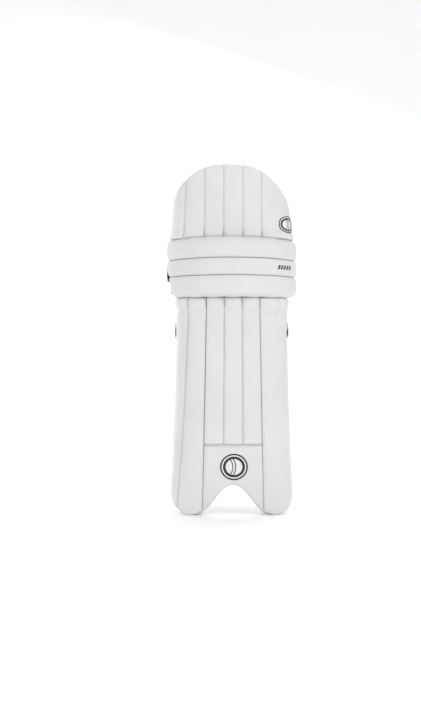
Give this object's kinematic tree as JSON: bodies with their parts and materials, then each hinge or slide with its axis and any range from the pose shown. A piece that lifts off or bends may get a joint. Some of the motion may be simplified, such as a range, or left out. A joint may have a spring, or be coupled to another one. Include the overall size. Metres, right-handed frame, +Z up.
{
  "type": "cricket leg pad",
  "caption": "Padded cricket batting leg guard with channelled face, knee rolls, domed thigh guard, arched instep, lined cradle and webbing straps on rings.",
  "frame": {"origin": "on the leg's axis at the height of the ear tips, where the pad meets the floor", "axes": "+Z up the leg to the thigh guard, -Y out of the padded face, +X to the side with the rings"},
  "size_m": [0.264, 0.1601, 0.7],
  "materials": {
    "white_leather": "satin",
    "foam": "matt",
    "cane": "satin",
    "board": "matt",
    "pale_lining": "matt",
    "dark_lining": "matt",
    "dark_leather": "gloss",
    "badge": "satin",
    "webbing": "matt",
    "ring_plastic": "satin",
    "hook_and_loop": "matt"
  },
  "bodies": {
    "shin": {"shin_face_cover": "white_leather", "instep_cover": "white_leather", "instep_foam": "foam", "instep_badge": "badge", "shin_canes": "cane", "shin_filling_1": "foam", "shin_filling_2": "foam", "shin_filling_3": "foam", "shin_filling_4": "foam", "shin_filling_5": "foam", "shin_filling_6": "foam", "shin_filling_7": "foam", "shin_backing_board": "board", "shin_centre_liner": "pale_lining", "calf_bolster_outer": "dark_lining", "calf_bolster_inner": "dark_lining", "ankle_liner": "dark_leather", "calf_wing_outer": "pale_lining", "calf_wing_inner": "pale_lining", "calf_strap_tab": "webbing", "calf_loop_patch": "hook_and_loop", "ankle_strap_tab": "webbing", "ankle_loop_patch": "hook_and_loop"},
    "knee": {"knee_roll_cover_upper": "white_leather", "knee_roll_cover_middle": "white_leather", "knee_roll_cover_lower": "white_leather", "knee_roll_core_upper": "foam", "knee_roll_core_middle": "foam", "knee_roll_core_lower": "foam", "knee_backing_board": "board", "knee_centre_liner": "pale_lining", "knee_wing_outer": "dark_lining", "knee_wing_inner": "dark_lining", "knee_strap_tab": "webbing", "knee_loop_patch": "hook_and_loop"},
    "top_hat": {"top_hat_face_cover": "white_leather", "top_hat_canes": "cane", "top_hat_filling_1": "foam", "top_hat_filling_2": "foam", "top_hat_filling_3": "foam", "top_hat_filling_4": "foam", "top_hat_filling_5": "foam", "top_hat_filling_6": "foam", "top_hat_filling_7": "foam", "top_hat_backing_board": "board", "top_hat_liner": "pale_lining"},
    "knee_ring": {"knee_ring": "ring_plastic"},
    "knee_strap": {"knee_strap": "webbing", "knee_hook_patch": "hook_and_loop"},
    "calf_ring": {"calf_ring": "ring_plastic"},
    "calf_strap": {"calf_strap": "webbing", "calf_hook_patch": "hook_and_loop"},
    "ankle_ring": {"ankle_ring": "ring_plastic"},
    "ankle_strap": {"ankle_strap": "webbing", "ankle_hook_patch": "hook_and_loop"}
  },
  "joints": [
    {"name": "knee_flex", "type": "hinge", "parent": "shin", "child": "knee", "pos_m": [0, -0.006, 0.4385], "axis": [-1, 0, 0], "range_deg": [0, 10]},
    {"name": "top_hat_flex", "type": "hinge", "parent": "knee", "child": "top_hat", "pos_m": [0, -0.006, 0.5525], "axis": [-1, 0, 0], "range_deg": [0, 12]},
    {"name": "knee_ring_swing", "type": "hinge", "parent": "knee", "child": "knee_ring", "pos_m": [0.1235, 0.062, 0.49], "axis": [0, 0, -1], "range_deg": [0, 35]},
    {"name": "knee_strap_open", "type": "hinge", "parent": "knee_ring", "child": "knee_strap", "pos_m": [0.1065, 0.062, 0.49], "axis": [0, 0, -1], "range_deg": [0, 110]},
    {"name": "calf_ring_swing", "type": "hinge", "parent": "shin", "child": "calf_ring", "pos_m": [0.1115, 0.062, 0.372], "axis": [0, 0, -1], "range_deg": [0, 35]},
    {"name": "calf_strap_open", "type": "hinge", "parent": "calf_ring", "child": "calf_strap", "pos_m": [0.0945, 0.062, 0.372], "axis": [0, 0, -1], "range_deg": [0, 110]},
    {"name": "ankle_ring_swing", "type": "hinge", "parent": "shin", "child": "ankle_ring", "pos_m": [0.0845, 0.028, 0.153], "axis": [0, 0, -1], "range_deg": [0, 35]},
    {"name": "ankle_strap_open", "type": "hinge", "parent": "ankle_ring", "child": "ankle_strap", "pos_m": [0.0675, 0.028, 0.153], "axis": [0, 0, -1], "range_deg": [0, 110]}
  ]
}
